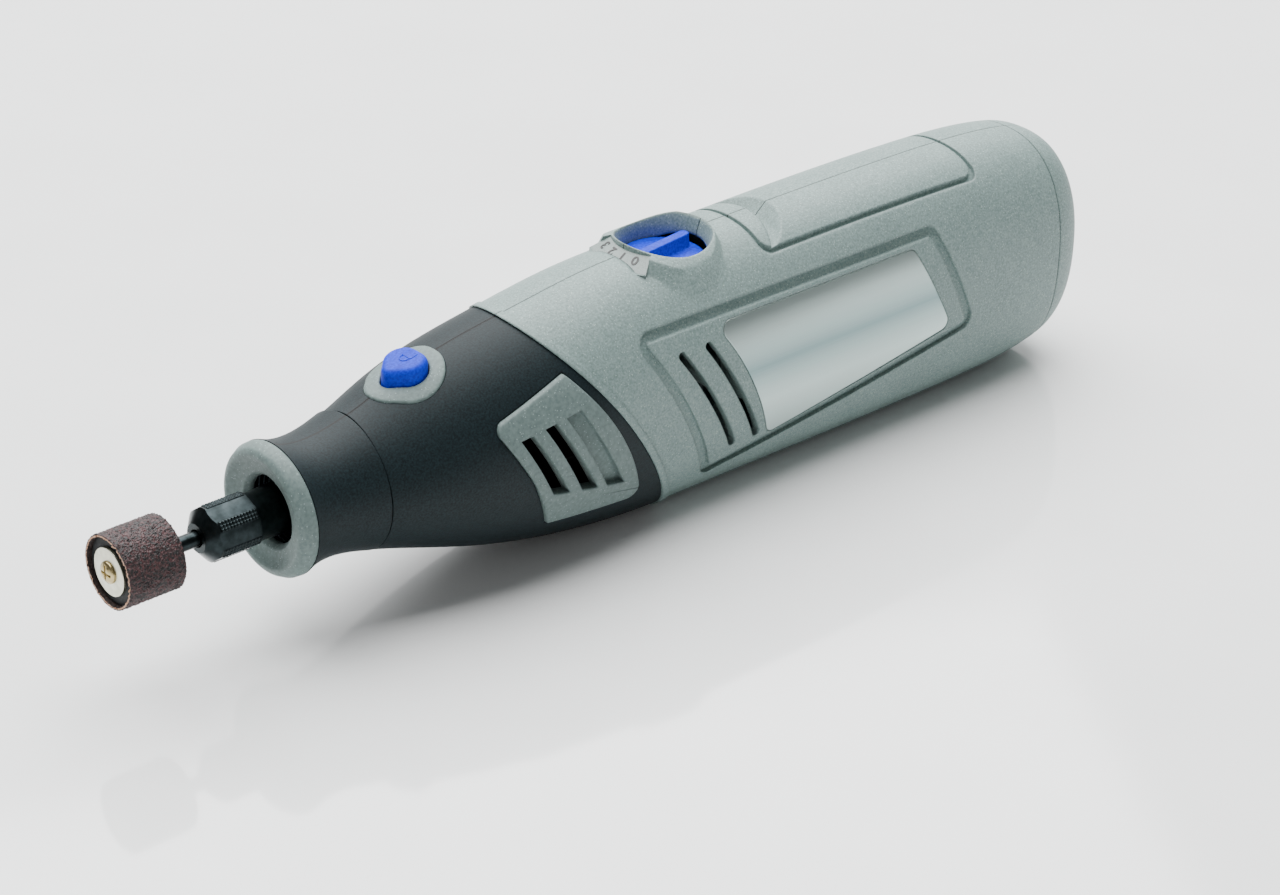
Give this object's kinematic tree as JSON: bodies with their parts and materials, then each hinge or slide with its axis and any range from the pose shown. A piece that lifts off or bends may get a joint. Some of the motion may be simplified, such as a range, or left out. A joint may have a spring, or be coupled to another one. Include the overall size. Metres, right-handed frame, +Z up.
{
  "type": "cordless rotary tool",
  "caption": "Cordless rotary tool with a sanding drum in its collet, a spindle lock button, a speed dial and a slide-out battery pack in a tapered two-tone casing.",
  "frame": {"origin": "on the surface under the flat of the belly, below the middle of the tool's length", "axes": "+X from the nose to the tail, +Y to the right-hand casing half, +Z up through the lock button and the dial"},
  "size_m": [0.2528, 0.0442, 0.0574],
  "materials": {
    "body_grey": "moulded ABS with a fine spark-eroded texture",
    "body_charcoal": "moulded glass-filled nylon, fine matt texture",
    "soft_grey": "moulded thermoplastic elastomer",
    "button_blue": "moulded acetal, satin",
    "label_silver": "satin aluminium plate",
    "plate_grey": "moulded, satin",
    "black_oxide": "ground steel, black oxide",
    "bright_steel": "ground steel",
    "zinc_plate": "zinc-plated steel",
    "grit_maroon": "aluminium oxide grit bonded to card",
    "black_rubber": "moulded rubber",
    "bronze": "sintered bronze",
    "copper": "drawn copper",
    "ferrite": "sintered ferrite and stacked steel",
    "board_green": "laminate",
    "cell_wrap": "shrink wrap",
    "nickel": "nickel strip",
    "carbon": "carbon brush and moulded phenolic"
  },
  "bodies": {
    "root": {"front_housing_left": "body_charcoal", "front_housing_right": "body_charcoal", "rear_housing_left": "body_grey", "rear_housing_right": "body_grey", "vent_grille_left": "soft_grey", "vent_grille_right": "soft_grey", "label_plate_left": "label_silver", "label_plate_right": "label_silver", "lock_surround": "soft_grey", "number_plate": "plate_grey", "nose_mount": "bright_steel", "front_bearing_outer": "bright_steel", "rear_bearing": "bronze", "motor_can": "bright_steel", "motor_magnets": "ferrite", "motor_end_cap": "carbon", "motor_bushes": "bronze", "brushes": "carbon", "brush_springs": "bright_steel", "circuit_board": "board_green", "dial_switch": "carbon", "internal_leads": "cell_wrap", "contact_block": "carbon", "contact_blades": "nickel", "housing_screws": "black_oxide", "lock_spring": "bright_steel"},
    "spindle": {"spindle": "black_oxide", "front_bearing_inner": "bright_steel", "front_bearing_balls": "bright_steel", "collet": "black_oxide", "collet_nut": "black_oxide", "mandrel": "black_oxide", "rubber_drum": "black_rubber", "sanding_band": "grit_maroon", "drum_washer": "zinc_plate", "drum_screw": "zinc_plate", "shaft_coupling": "bright_steel", "cooling_fan": "carbon", "motor_shaft": "bright_steel", "rotor_core": "ferrite", "rotor_windings": "copper", "commutator": "copper"},
    "lock_button": {"lock_button": "button_blue", "lock_pin": "bright_steel"},
    "speed_dial": {"speed_dial": "button_blue", "dial_shaft": "carbon"},
    "nose_cap": {"nose_cap": "body_charcoal", "nose_ring": "soft_grey"},
    "battery_pack": {"battery_cap": "body_grey", "battery_case": "body_charcoal", "battery_cells": "cell_wrap", "cell_links": "nickel", "battery_terminals": "nickel"}
  },
  "joints": [
    {"name": "spindle_spin", "type": "hinge", "parent": "root", "child": "spindle", "pos_m": [0, 0, 0.0275], "axis": [1, 0, 0], "continuous": true},
    {"name": "lock_press", "type": "slide", "parent": "root", "child": "lock_button", "axis": [0, 0, -1], "range_m": [0, 0.002], "stiffness_N_per_m": 500, "springref_m": -0.002, "deforming": ["lock_spring"]},
    {"name": "dial_turn", "type": "hinge", "parent": "root", "child": "speed_dial", "pos_m": [0.0117, 0, 0.0515], "axis": [0, 0, 1], "range_deg": [-28, 14]},
    {"name": "nose_cap_draw", "type": "slide", "parent": "root", "child": "nose_cap", "axis": [-1, 0, 0], "range_m": [0, 0.017]},
    {"name": "battery_slide", "type": "slide", "parent": "root", "child": "battery_pack", "axis": [1, 0, 0], "range_m": [0, 0.065]}
  ]
}
